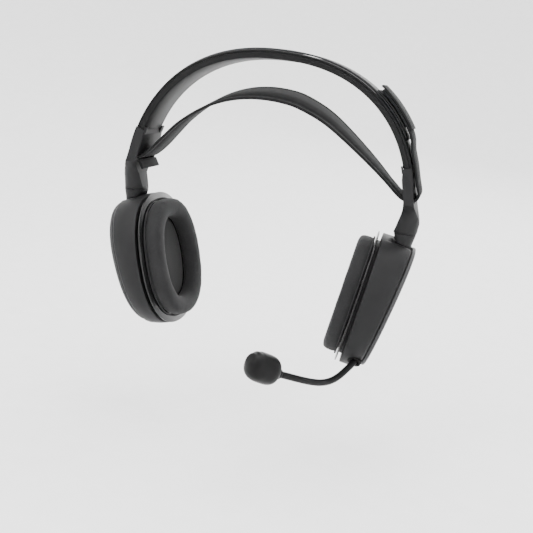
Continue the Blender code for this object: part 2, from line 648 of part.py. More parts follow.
def build_driver(word, side, cup):
    """The loudspeaker: basket, magnet and diaphragm, with the cloth in front of it."""
    centre = Vector((-side * CUP_IN, CUP_BACK, -CUP_DROP))
    axis = Vector((side, 0, 0))
    r = DRIVER_RADIUS
    basket = [(r - MM, -1.6 * MM), (r, -1.2 * MM), (r, 2.2 * MM), (r - 3 * MM, 4.2 * MM),
              (r - 7 * MM, 7.0 * MM), (r - 7 * MM, 5.4 * MM), (r - 4 * MM, 2.4 * MM),
              (r - 3 * MM, -1.6 * MM)]
    loft("driver_basket_" + word, [round_ring(side, rad, n) for rad, n in basket], BLACK_PLASTIC, cup,
         closed=True)
    magnet = [(0, 10.6 * MM), (11 * MM, 10.6 * MM), (11.6 * MM, 10.0 * MM), (11.6 * MM, 6.2 * MM),
              (11 * MM, 5.6 * MM), (0, 5.6 * MM)]
    turned("driver_magnet_" + word, magnet, centre, axis, 24, STEEL, cup)
    dome = [(0, -0.2 * MM), (8 * MM, 0.5 * MM), (r - 3.5 * MM, -0.6 * MM), (r - 3.5 * MM, -1.2 * MM),
            (8 * MM, -0.3 * MM), (0, -1.0 * MM)]
    turned("driver_diaphragm_" + word, dome, centre, axis, 24, MEMBRANE, cup)
    opening = CUSHION_INSET + CUSHION_WIDTH + 0.6 * MM
    height, width = CUP_HALF_HEIGHT - opening, CUP_HALF_WIDTH - opening
    back = -FLANGE_OFFSET - FLANGE_THICKNESS - FIT
    loft("ear_cloth_" + word, [oval(side, back - 0.9 * MM, height, width), oval(side, back, height, width)],
         CLOTH, cup)


def round_ring(side, radius, n):
    """A circle of points round the cup's centre, n out from its open side."""
    return oval(side, n, radius, radius, segments=28, exponent=2)


# ---------------------------------------------------------------- controls

def rear_wall(v):
    """How far back the cup's rear wall lies at a height from the cup's centre."""
    share = (abs(v) / CUP_HALF_HEIGHT) ** CUP_EXPONENT
    return CUP_HALF_WIDTH * (1 - share) ** (1 / CUP_EXPONENT)


def bottom_wall(y):
    """How far down the cup's bottom wall lies at a place forward or back of its centre."""
    share = (abs(y) / CUP_HALF_WIDTH) ** CUP_EXPONENT
    return CUP_HALF_HEIGHT * (1 - share) ** (1 / CUP_EXPONENT)


def cup_place(side, n, y, v):
    """A point in the cup's frame from (n out, y back, v up) at the cup's centre."""
    return Vector((side * (n - CUP_IN), y + CUP_BACK, v - CUP_DROP))


def build_wheel(name, side, cup, shell, v):
    """A wheel that stands out of the cup's rear wall and turns across it."""
    centre_y = rear_wall(v) + WHEEL_PROUD - WHEEL_RADIUS
    half = WHEEL_THICKNESS / 2
    gap = 0.4 * MM
    slot = rod(name + "_slot", cup_place(side, CONTROL_N - half - gap, centre_y, v),
               cup_place(side, CONTROL_N + half + gap, centre_y, v), WHEEL_RADIUS + gap, 28, cutter=True,
               parent=cup)
    boolean(shell, slot, "DIFFERENCE")
    rod(name, cup_place(side, CONTROL_N - half, centre_y, v),
        cup_place(side, CONTROL_N + half, centre_y, v), WHEEL_RADIUS, 28, RUBBER, cup)


def build_button(name, side, cup, shell, v):
    """A round button that slides in through the cup's rear wall."""
    wall = rear_wall(v)
    hole = rod(name + "_hole", cup_place(side, CONTROL_N, wall - 8 * MM, v),
               cup_place(side, CONTROL_N, wall + 4 * MM, v), BUTTON_RADIUS + FIT, 16, cutter=True,
               parent=cup)
    boolean(shell, hole, "DIFFERENCE")
    rod(name, cup_place(side, CONTROL_N, wall - 4 * MM, v),
        cup_place(side, CONTROL_N, wall + BUTTON_PROUD, v), BUTTON_RADIUS, 16, RUBBER, cup)


def build_socket(name, side, cup, shell, y, half_n, half_y):
    """A socket in the cup's bottom wall, with its opening facing down."""
    wall = -bottom_wall(y)
    low, high = wall + 0.3 * MM, wall + 8.0 * MM
    hole = block(name + "_hole",
                 cup_place(side, CONTROL_N - half_n - FIT, y - half_y - FIT, wall - 4 * MM),
                 cup_place(side, CONTROL_N + half_n + FIT, y + half_y + FIT, high + FIT),
                 cutter=True, parent=cup)
    boolean(shell, hole, "DIFFERENCE")
    body = block(name, cup_place(side, CONTROL_N - half_n, y - half_y, low),
                 cup_place(side, CONTROL_N + half_n, y + half_y, high), STEEL, cup)
    rim = 0.6 * MM
    space = block(name + "_space",
                  cup_place(side, CONTROL_N - half_n + rim, y - half_y + rim, low - MM),
                  cup_place(side, CONTROL_N + half_n - rim, y + half_y - rim, high - MM),
                  cutter=True, parent=cup)
    boolean(body, space, "DIFFERENCE")


def build_left_insides(cup, shell):
    """The controls, sockets and circuit board of the cup that carries the microphone."""
    build_wheel("volume_wheel", 1, cup, shell, 2 * MM)
    build_button("mute_button", 1, cup, shell, 16 * MM)
    build_button("power_button", 1, cup, shell, -16 * MM)
    build_socket("usb_socket", 1, cup, shell, 3 * MM, 1.9 * MM, 4.6 * MM)
    build_socket("audio_socket", 1, cup, shell, 14 * MM, 2.6 * MM, 2.6 * MM)
    block("circuit_board", cup_place(1, BOARD_N - BOARD_THICKNESS, -20 * MM, -18 * MM),
          cup_place(1, BOARD_N, 20 * MM, 16 * MM), BOARD, cup)


def build_right_insides(cup, shell):
    """The balance wheel and the battery of the other cup."""
    build_wheel("balance_wheel", -1, cup, shell, 2 * MM)
    block("battery", cup_place(-1, BATTERY_N - BATTERY_THICKNESS, -15 * MM, -38 * MM),
          cup_place(-1, BATTERY_N, 15 * MM, -22 * MM), FOIL, cup)


# ---------------------------------------------------------------- boom microphone

def running_lengths(points):
    """How far along a line of points each point lies."""
    lengths = [0.0]
    for a, b in zip(points, points[1:]):
        lengths.append(lengths[-1] + (b - a).length)
    return lengths


def from_swivel_axis(point):
    """A point given in millimetres from the left swivel axis, in metres from the arch's centre."""
    x, y, z = point
    return Vector((PIVOT_X + x * MM, y * MM, z * MM))


def boom_stretch(points, lengths, start, stop, count):
    """Evenly spaced points on the boom's line between two distances along it."""
    made = []
    for i in range(count):
        goal = start + (stop - start) * i / (count - 1)
        index = max(k for k in range(len(lengths) - 1) if lengths[k] <= goal + 1e-9)
        share = (goal - lengths[index]) / (lengths[index + 1] - lengths[index])
        made.append(points[index].lerp(points[index + 1], share))
    return made


def build_boom(hub, shell):
    """The gooseneck: a root in its bush and segments that bend one after another."""
    points = spline_through([from_swivel_axis(p) for p in BOOM_ROUTE], 6)
    lengths = running_lengths(points)
    whole = lengths[-1]
    root = boom_stretch(points, lengths, 0, BOOM_ROOT_LENGTH, 6)
    tube("boom_root", root, BOOM_RADIUS, BOOM_BLACK, hub)
    step = (whole - BOOM_ROOT_LENGTH) / BOOM_SEGMENTS
    for i in range(BOOM_SEGMENTS):
        start = BOOM_ROOT_LENGTH + i * step + BOOM_GAP
        stretch = boom_stretch(points, lengths, start, BOOM_ROOT_LENGTH + (i + 1) * step, 6)
        tube(f"boom_segment_{i + 1}", stretch, BOOM_RADIUS, BOOM_BLACK, hub)
    build_bush(points, lengths, hub, shell)
    build_microphone(points[-1], hub)


def build_bush(points, lengths, hub, shell):
    """The grommet where the boom comes out of the cup."""
    mid = boom_stretch(points, lengths, 0, BOOM_ROOT_LENGTH, 3)
    along = (mid[2] - mid[0]).normalized()
    middle = mid[1]
    start, stop = middle - along * BUSH_LENGTH / 2, middle + along * BUSH_LENGTH / 2
    hole = rod("bush_hole", start - along * 2 * MM, stop + along * 6 * MM, BUSH_RADIUS + FIT, 32,
               cutter=True, parent=hub)
    boolean(shell, hole, "DIFFERENCE")
    bush = rod("boom_bush", start, stop, BUSH_RADIUS, 32, RUBBER, hub)
    bore = rod("bush_bore", start - along * 3 * MM, stop + along * 3 * MM, BOOM_RADIUS + 2 * FIT, 20,
               cutter=True, parent=hub)
    boolean(bush, bore, "DIFFERENCE")


def build_microphone(neck_start, hub):
    """The neck collar, housing, capsule and foam windscreen at the boom's end."""
    centre = from_swivel_axis(MIC_CENTRE)
    along = (centre - neck_start).normalized()
    start = neck_start + along * FIT
    stop = start + along * NECK_LENGTH
    rod("mic_neck", start, stop, NECK_RADIUS, 24, BLACK_PLASTIC, hub)
    housing_start = stop + along * FIT
    housing_stop = housing_start + along * HOUSING_LENGTH
    rod("mic_housing", housing_start, housing_stop, HOUSING_RADIUS, 24, BLACK_PLASTIC, hub)
    capsule_start = housing_stop + along * FIT
    rod("mic_capsule", capsule_start, capsule_start + along * 2.2 * MM, CAPSULE_RADIUS, 24, STEEL, hub)
    turn = along.to_track_quat("Z", "X").to_matrix().to_4x4()
    bm = bmesh.new()
    bmesh.ops.create_uvsphere(bm, u_segments=20, v_segments=12, radius=0.5)
    bmesh.ops.scale(bm, vec=(SCREEN_HEIGHT, SCREEN_DEPTH, SCREEN_LENGTH), verts=bm.verts)
    bmesh.ops.transform(bm, matrix=Matrix.Translation(centre) @ turn, verts=bm.verts)
    screen = finish("windscreen", bm, FOAM, hub)
    space = rod("screen_space", start - along * 8 * MM, capsule_start + along * (2.2 * MM + FIT),
                HOUSING_RADIUS + FIT, 24, cutter=True, parent=hub)
    boolean(screen, space, "DIFFERENCE")


# ---------------------------------------------------------------- assembly

def build_side(word, side, tilt, swivel, hub):
    """One hanger, yoke and ear cup; returns the cup's frame and body."""
    build_hanger("hanger_" + word, side, hub)
    pivot = (side * PIVOT_X, POD_Y, PIVOT_Z)
    swing = empty("swing_" + word, hub, pivot, (0, 0, side * swivel))
    cup = empty("cup_" + word, hub, pivot, (0, side * tilt, side * swivel))
    build_yoke(word, side, swing)
    build_tilt_pin(word, cup)
    shell = build_shell(word, side, cup)
    build_cup_pieces(word, side, cup)
    return cup, shell


def build_headset():
    """The whole headset."""
    hub = empty("headset_hub", None, (0, 0, -HUB_DROP))
    build_arch(hub)
    build_strap(hub)
    left_cup, left_shell = build_side("left", 1, LEFT_TILT, LEFT_SWIVEL, hub)
    right_cup, right_shell = build_side("right", -1, RIGHT_TILT, RIGHT_SWIVEL, hub)
    build_left_insides(left_cup, left_shell)
    build_right_insides(right_cup, right_shell)
    build_boom(hub, left_shell)


clear_scene()
PARTS = collection("headset")
CUTTERS = collection("cutters")
BLACK_METAL = material("arch_metal", (0.018, 0.018, 0.020), 0.42, 0.6)
GREY_PLASTIC = material("arch_skin", (0.12, 0.12, 0.125), 0.55)
GRAPHITE = material("graphite_plastic", (0.045, 0.045, 0.048), 0.55)
BLACK_PLASTIC = material("black_plastic", (0.015, 0.015, 0.016), 0.5)
GLOSS_BLACK = material("gloss_flange", (0.02, 0.02, 0.022), 0.18)
PLATE = material("speaker_plate", (0.16, 0.16, 0.165), 0.5, 0.3)
FABRIC = material("strap_fabric", (0.05, 0.05, 0.053), 0.85)
HOOK = material("hook_patch", (0.10, 0.10, 0.10), 0.95)
LEATHERETTE = material("cushion_cover", (0.03, 0.03, 0.032), 0.8)
CLOTH = material("ear_cloth", (0.02, 0.02, 0.02), 0.95)
MEMBRANE = material("membrane", (0.25, 0.24, 0.22), 0.35)
STEEL = material("steel", (0.55, 0.55, 0.56), 0.3, 1.0)
RUBBER = material("black_rubber", (0.02, 0.02, 0.02), 0.7)
BOARD = material("circuit_board", (0.02, 0.12, 0.05), 0.5)
FOIL = material("battery_foil", (0.4, 0.4, 0.42), 0.35, 0.6)
BOOM_BLACK = material("boom_sleeve", (0.02, 0.02, 0.022), 0.5)
FOAM = material("windscreen_foam", (0.012, 0.012, 0.013), 0.8)
build_headset()
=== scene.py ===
"""Over-ear headset with a suspension strap, tilting ear cups and a gooseneck microphone.

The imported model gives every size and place.  This script dresses it: smooth bodies, woven
strap, padded ear cushions, a sleeved boom, finishes, a pale floor, soft light and a camera.
"""

import logging
import math
from dataclasses import dataclass
from enum import Enum
from typing import Optional, Sequence

import bpy
import numpy as np
from mathutils import Matrix, Vector


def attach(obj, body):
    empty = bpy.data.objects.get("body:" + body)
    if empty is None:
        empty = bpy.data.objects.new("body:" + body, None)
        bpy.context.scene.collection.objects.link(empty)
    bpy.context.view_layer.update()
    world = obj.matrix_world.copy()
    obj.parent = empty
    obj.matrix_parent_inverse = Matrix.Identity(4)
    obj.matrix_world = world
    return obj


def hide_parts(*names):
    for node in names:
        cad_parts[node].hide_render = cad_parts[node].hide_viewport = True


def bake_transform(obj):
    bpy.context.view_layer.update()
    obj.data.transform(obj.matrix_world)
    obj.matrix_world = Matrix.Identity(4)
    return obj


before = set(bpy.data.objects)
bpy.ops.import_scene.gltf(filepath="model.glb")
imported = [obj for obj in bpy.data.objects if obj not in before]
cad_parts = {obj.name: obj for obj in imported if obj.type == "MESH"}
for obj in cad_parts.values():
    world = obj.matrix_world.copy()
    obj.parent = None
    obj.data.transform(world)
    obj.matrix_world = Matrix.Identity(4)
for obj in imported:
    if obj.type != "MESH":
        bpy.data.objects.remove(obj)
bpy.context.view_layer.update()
LOG = logging.getLogger("headset")

MM = 0.001
HUB = Vector((0.0, 0.0, -70.3 * MM))
PIVOT = Vector((97.5 * MM, -2.5 * MM, -86.8 * MM))  # the left cup's; the right cup's is its mirror
CAMERA_EYE = Vector((0.12331, -0.58056, 0.01683))
CAMERA_RIGHT = Vector((0.96516, 0.22689, 0.13036))
CAMERA_UP = Vector((-0.17463, 0.18751, 0.96661))


class Side(Enum):
    """Which ear a piece belongs to; the value is the sign of its X."""

    LEFT = 1
    RIGHT = -1

    @property
    def word(self) -> str:
        """The side's name, as the nodes use it."""
        return self.name.lower()


class Pattern(Enum):
    """Surface patterns that a finish can carry."""

    GRAIN = "grain"
    BRUSHED = "brushed"
    WEAVE = "weave"
    KNIT = "knit"
    PORES = "pores"


# ---------------------------------------------------------------- finishes

@dataclass(frozen=True)
class Finish:
    """One surface finish, built once as a node material."""

    name: str
    dark: tuple
    light: tuple
    rough: float
    spread: float = 0.08
    pattern: Pattern = Pattern.GRAIN
    scale: float = 1600.0
    bump: float = 0.12
    depth: float = 0.00006
    metallic: float = 0.0
    sheen: float = 0.0
    gloss: float = 0.2

    def material(self) -> bpy.types.Material:
        """The finish's material.

        Returns:
            The material, made on the first call.
        """
        made = bpy.data.materials.get(self.name)
        return made if made else self._build()

    def _build(self) -> bpy.types.Material:
        """Build the node tree: a broad mottle for colour and roughness, a pattern for relief."""
        made = bpy.data.materials.new(self.name)
        made.use_nodes = True
        tree = made.node_tree
        shader = tree.nodes["Principled BSDF"]
        shader.inputs["Metallic"].default_value = self.metallic
        shader.inputs["Sheen Weight"].default_value = self.sheen
        shader.inputs["Sheen Roughness"].default_value = 0.5
        shader.inputs["Specular IOR Level"].default_value = self.gloss
        place = tree.nodes.new("ShaderNodeTexCoord")
        mottle = _noise(tree, place.outputs["Object"], 55.0, 5.0)
        fine = self._pattern(tree, place)
        mixed = _mix(tree, mottle, fine, 0.45 if self.pattern in (Pattern.WEAVE, Pattern.KNIT) else 0.22)
        ramp = tree.nodes.new("ShaderNodeValToRGB")
        ramp.color_ramp.elements[0].position = 0.25
        ramp.color_ramp.elements[0].color = (*self.dark, 1.0)
        ramp.color_ramp.elements[1].position = 0.75
        ramp.color_ramp.elements[1].color = (*self.light, 1.0)
        tree.links.new(mixed, ramp.inputs["Fac"])
        tree.links.new(ramp.outputs["Color"], shader.inputs["Base Color"])
        span = tree.nodes.new("ShaderNodeMapRange")
        span.inputs["To Min"].default_value = self.rough - self.spread / 2
        span.inputs["To Max"].default_value = self.rough + self.spread / 2
        tree.links.new(mottle, span.inputs["Value"])
        tree.links.new(span.outputs["Result"], shader.inputs["Roughness"])
        relief = tree.nodes.new("ShaderNodeBump")
        relief.inputs["Strength"].default_value = self.bump
        relief.inputs["Distance"].default_value = self.depth
        tree.links.new(fine, relief.inputs["Height"])
        tree.links.new(relief.outputs["Normal"], shader.inputs["Normal"])
        return made

    def _pattern(self, tree: bpy.types.NodeTree, place: bpy.types.Node) -> bpy.types.NodeSocket:
        """The relief pattern's height.

        Args:
            tree: the material's nodes.
            place: its texture coordinates.

        Returns:
            The socket with the height, from 0 to 1.
        """
        spot = place.outputs["Object"]
        if self.pattern is Pattern.WEAVE:
            warp = _wave(tree, _mapped(tree, place.outputs["UV"], (34.0, 1.0, 1.0)), "X")
            weft = _wave(tree, _mapped(tree, place.outputs["UV"], (1.0, self.scale, 1.0)), "Y")
            return _mix(tree, warp, weft, 0.55)
        if self.pattern is Pattern.KNIT:
            cells = tree.nodes.new("ShaderNodeTexVoronoi")
            cells.inputs["Scale"].default_value = self.scale
            tree.links.new(spot, cells.inputs["Vector"])
            return _mix(tree, cells.outputs["Distance"], _noise(tree, spot, 2400.0, 2.0), 0.3)
        if self.pattern is Pattern.BRUSHED:
            return _noise(tree, _mapped(tree, spot, (1.0, 0.04, 1.0)), self.scale, 3.0)
        if self.pattern is Pattern.PORES:
            cells = tree.nodes.new("ShaderNodeTexVoronoi")
            cells.inputs["Scale"].default_value = self.scale
            cells.feature = "SMOOTH_F1"
            tree.links.new(spot, cells.inputs["Vector"])
            return cells.outputs["Distance"]
        return _noise(tree, spot, self.scale, 3.0)


def _noise(tree: bpy.types.NodeTree, vector: bpy.types.NodeSocket, scale: float,
           detail: float) -> bpy.types.NodeSocket:
    """A noise value over a vector.

    Args:
        tree: the material's nodes.
        vector: the place that the noise is read at.
        scale: how fine it is.
        detail: how many finer layers it has.

    Returns:
        The socket with the noise.
    """
    node = tree.nodes.new("ShaderNodeTexNoise")
    node.inputs["Scale"].default_value = scale
    node.inputs["Detail"].default_value = detail
    tree.links.new(vector, node.inputs["Vector"])
    return node.outputs["Fac"]


def _wave(tree: bpy.types.NodeTree, vector: bpy.types.NodeSocket, direction: str) -> bpy.types.NodeSocket:
    """Even bands along one direction of a vector.

    Args:
        tree: the material's nodes.
        vector: the place that the bands are read at.
        direction: the axis they follow each other along.

    Returns:
        The socket with the bands.
    """
    node = tree.nodes.new("ShaderNodeTexWave")
    node.bands_direction = direction
    node.inputs["Scale"].default_value = 1.0
    tree.links.new(vector, node.inputs["Vector"])
    return node.outputs["Fac"]


def _mapped(tree: bpy.types.NodeTree, vector: bpy.types.NodeSocket,
            scale: Sequence[float]) -> bpy.types.NodeSocket:
    """A vector scaled by a Mapping node.

    Args:
        tree: the material's nodes.
        vector: the vector to scale.
        scale: the factor along each axis.

    Returns:
        The socket with the scaled vector.
    """
    node = tree.nodes.new("ShaderNodeMapping")
    node.inputs["Scale"].default_value = scale
    tree.links.new(vector, node.inputs["Vector"])
    return node.outputs["Vector"]


def _mix(tree: bpy.types.NodeTree, first: bpy.types.NodeSocket, second: bpy.types.NodeSocket,
         share: float) -> bpy.types.NodeSocket:
    """Two values mixed.

    Args:
        tree: the material's nodes.
        first: the value at a share of 0.
        second: the value at a share of 1.
        share: the second value's share.

    Returns:
        The socket with the mixed value.
    """
    node = tree.nodes.new("ShaderNodeMix")
    node.data_type = "FLOAT"
    node.inputs["Factor"].default_value = share
    tree.links.new(first, node.inputs["A"])
    tree.links.new(second, node.inputs["B"])
    return node.outputs["Result"]


ARCH_SATIN = Finish("arch_satin_black", (0.0026, 0.0026, 0.0028), (0.0048, 0.0048, 0.0050), 0.50,
                    gloss=0.14)
SKIN_GREY = Finish("arch_skin_grey", (0.016, 0.016, 0.017), (0.024, 0.024, 0.025), 0.55)
GRAPHITE = Finish("graphite_moulding", (0.0060, 0.0060, 0.0063), (0.0092, 0.0092, 0.0097), 0.50, bump=0.2,
                  gloss=0.16)
DARK_PLASTIC = Finish("dark_moulding", (0.003, 0.003, 0.0033), (0.006, 0.006, 0.0065), 0.55)
GLOSS = Finish("flange_gloss_black", (0.0030, 0.0030, 0.0032), (0.0050, 0.0050, 0.0053), 0.20, 0.05,
               bump=0.03, gloss=0.4)
PLATE_GREY = Finish("speaker_plate_grey", (0.028, 0.028, 0.029), (0.042, 0.042, 0.043), 0.50, 0.04,
                    pattern=Pattern.PORES, scale=1500.0, bump=0.35, depth=0.00012)
WEBBING = Finish("strap_weave", (0.0045, 0.0045, 0.0048), (0.0115, 0.0115, 0.0120), 0.85,
                 pattern=Pattern.WEAVE, scale=480.0, bump=0.35, depth=0.0001, sheen=0.03, gloss=0.1)
HOOKS = Finish("hook_pile", (0.015, 0.015, 0.015), (0.045, 0.045, 0.045), 0.95, pattern=Pattern.PORES,
               scale=900.0, bump=0.8, depth=0.0003)
KNIT = Finish("cushion_knit", (0.006, 0.006, 0.0064), (0.015, 0.015, 0.0155), 0.86, pattern=Pattern.KNIT,
              scale=1300.0, bump=0.45, depth=0.00015, sheen=0.05)
CLOTH = Finish("ear_cloth_knit", (0.006, 0.006, 0.006), (0.015, 0.015, 0.015), 0.95, pattern=Pattern.KNIT,
               scale=1500.0, bump=0.6, depth=0.00015, sheen=0.08)
SOFT_COVER = Finish("microphone_cover", (0.0010, 0.0010, 0.0011), (0.0024, 0.0024, 0.0026), 0.36, 0.12,
                    scale=500.0, bump=0.10, depth=0.0001, gloss=0.13)
SLEEVE = Finish("boom_sleeve_black", (0.0016, 0.0016, 0.0018), (0.0034, 0.0034, 0.0037), 0.45, scale=900.0,
                gloss=0.12)
RUBBER = Finish("control_rubber", (0.002, 0.002, 0.002), (0.0045, 0.0045, 0.0045), 0.70, scale=1200.0,
                bump=0.25, gloss=0.1)
STEEL = Finish("bright_steel", (0.40, 0.40, 0.41), (0.58, 0.58, 0.60), 0.3, pattern=Pattern.BRUSHED,
               scale=1500.0, metallic=1.0)
BLACK_STEEL = Finish("blackened_steel", (0.012, 0.012, 0.013), (0.022, 0.022, 0.024), 0.45,
                     pattern=Pattern.BRUSHED, scale=1500.0, metallic=0.7)
FILM = Finish("speaker_film", (0.20, 0.19, 0.17), (0.30, 0.29, 0.26), 0.35, scale=500.0)
BOARD = Finish("board_lacquer", (0.010, 0.080, 0.030), (0.020, 0.120, 0.050), 0.4, scale=400.0)
FOIL = Finish("battery_wrap", (0.30, 0.30, 0.32), (0.42, 0.42, 0.44), 0.35, metallic=0.6, scale=300.0)
PALE = Finish("pale_floor", (0.86, 0.86, 0.86), (0.90, 0.90, 0.90), 0.95, bump=0.02, scale=80.0)


# ---------------------------------------------------------------- modelling by hand

def select_only(piece: bpy.types.Object) -> None:
    """Make one object the only selected one, and active.

    Args:
        piece: the object.
    """
    bpy.ops.object.select_all(action="DESELECT")
    piece.select_set(True)
    bpy.context.view_layer.objects.active = piece


def coordinates(piece: bpy.types.Object) -> np.ndarray:
    """A mesh's points as an array of rows.

    Args:
        piece: the mesh object.

    Returns:
        One row of three numbers for each point.
    """
    flat = np.zeros(len(piece.data.vertices) * 3, np.float32)
    piece.data.vertices.foreach_get("co", flat)
    return flat.reshape(-1, 3).astype(float)


def place_points(piece: bpy.types.Object, points: np.ndarray) -> None:
    """Move a mesh's points to the given rows."""
    piece.data.vertices.foreach_set("co", np.asarray(points, np.float32).ravel())
    piece.data.update()


def modify(piece: bpy.types.Object, kind: str, **settings: object) -> None:
    """Add a modifier with its settings and apply it.

    Args:
        piece: the object to modify.
        kind: the modifier's type.
        settings: the modifier's values by name.
    """
    select_only(piece)
    modifier = piece.modifiers.new(kind.lower(), kind)
    for key, value in settings.items():
        setattr(modifier, key, value)
    bpy.ops.object.modifier_apply(modifier=modifier.name)


def smooth(piece: bpy.types.Object, degrees: float = 34.0) -> None:
    """Shade a mesh smooth, with sharp edges above an angle."""
    select_only(piece)
    bpy.ops.object.shade_smooth_by_angle(angle=math.radians(degrees))


def skin_over(name: str, rows: Sequence[Sequence[Vector]], round_across: bool = True,
              round_along: bool = False, degrees: float = 34.0) -> bpy.types.Object:
    """Lay a grid over rows of points, then weld it, close its ends and turn its faces out.

    Args:
        name: the piece's name.
        rows: rows of points, each of the same length.
        round_across: whether each row closes on itself.
        round_along: whether the last row joins the first.
        degrees: the angle above which an edge stays sharp.

    Returns:
        The closed piece, with a UV map across and along the rows.
    """
    rows = [list(row) for row in rows]
    if round_across:
        rows = [row + row[:1] for row in rows]
    if round_along:
        rows = rows + rows[:1]
    wide, long = len(rows[0]), len(rows)
    bpy.ops.object.select_all(action="DESELECT")
    bpy.ops.mesh.primitive_grid_add(x_subdivisions=wide - 1, y_subdivisions=long - 1, size=2.0)
    piece = bpy.context.active_object
    piece.name = name
    piece.data.name = name
    start = coordinates(piece)
    across = np.rint((start[:, 0] + 1) / 2 * (wide - 1)).astype(int)
    along = np.rint((start[:, 1] + 1) / 2 * (long - 1)).astype(int)
    table = np.array([[tuple(p) for p in row] for row in rows], float)
    place_points(piece, table[along, across])
    bpy.ops.object.mode_set(mode="EDIT")
    bpy.ops.mesh.select_all(action="SELECT")
    bpy.ops.mesh.remove_doubles(threshold=1e-6)
    if round_across and not round_along:
        bpy.ops.mesh.fill_holes(sides=0)
    bpy.ops.mesh.select_all(action="SELECT")
    bpy.ops.mesh.normals_make_consistent(inside=False)
    bpy.ops.object.mode_set(mode="OBJECT")
    smooth(piece, degrees)
    return piece


def refined(node: str, name: str, bevel: float, segments: int = 3,
            degrees: float = 40.0) -> bpy.types.Object:
    """A welded copy of a node with its edges rounded.

    Args:
        node: the node to copy.
        name: the new piece's name.
        bevel: the rounding's width, in metres.
        segments: how many faces each rounding has.
        degrees: the angle above which an edge is rounded.

    Returns:
        The new piece.
    """
    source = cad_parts[node]
    piece = bpy.data.objects.new(name, source.data.copy())
    bpy.context.scene.collection.objects.link(piece)
    piece.data.name = name
    select_only(piece)
    bpy.ops.object.mode_set(mode="EDIT")
    bpy.ops.mesh.select_all(action="SELECT")
    bpy.ops.mesh.remove_doubles(threshold=2e-6)
    bpy.ops.mesh.dissolve_limited(angle_limit=math.radians(1.0))
    bpy.ops.object.mode_set(mode="OBJECT")
    if bevel:
        modify(piece, "BEVEL", width=bevel, segments=segments, limit_method="ANGLE",
               angle_limit=math.radians(degrees), use_clamp_overlap=True)
    smooth(piece, degrees)
    return piece


def dress(piece: bpy.types.Object, finish: Finish, slot: str, body: Optional[str],
          *nodes: str) -> bpy.types.Object:
    """Give a piece its finish, its body and the nodes it stands for.

    Args:
        piece: the finished mesh.
        finish: its surface.
        slot: not used.
        body: the body it rides on, or None to leave it unattached.
        nodes: the nodes that it replaces.

    Returns:
        The piece.
    """
    piece.data.materials.clear()
    piece.data.materials.append(finish.material())
    if nodes:
        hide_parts(*nodes)
    if body:
        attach(piece, body)
    LOG.info("%s: %d faces on %s", piece.name, len(piece.data.polygons), body)
    return piece


def catmull(points: Sequence[Sequence[float]], per_span: int) -> list:
    """Points along a smooth curve through the given ones.

    Args:
        points: the points that the curve passes through.
        per_span: how many points each span between two of them gets.

    Returns:
        The curve's points, both ends included.
    """
    known = [Vector(p) for p in points]
    ends = [2 * known[0] - known[1]] + known + [2 * known[-1] - known[-2]]
    made = []
    for before, start, stop, after in zip(ends, ends[1:], ends[2:], ends[3:]):
        for step in range(per_span):
            t = step / per_span
            made.append(0.5 * (2 * start + (stop - before) * t
                               + (2 * before - 5 * start + 4 * stop - after) * t ** 2
                               + (3 * start - before - 3 * stop + after) * t ** 3))
    return made + [known[-1]]


# ---------------------------------------------------------------- headband

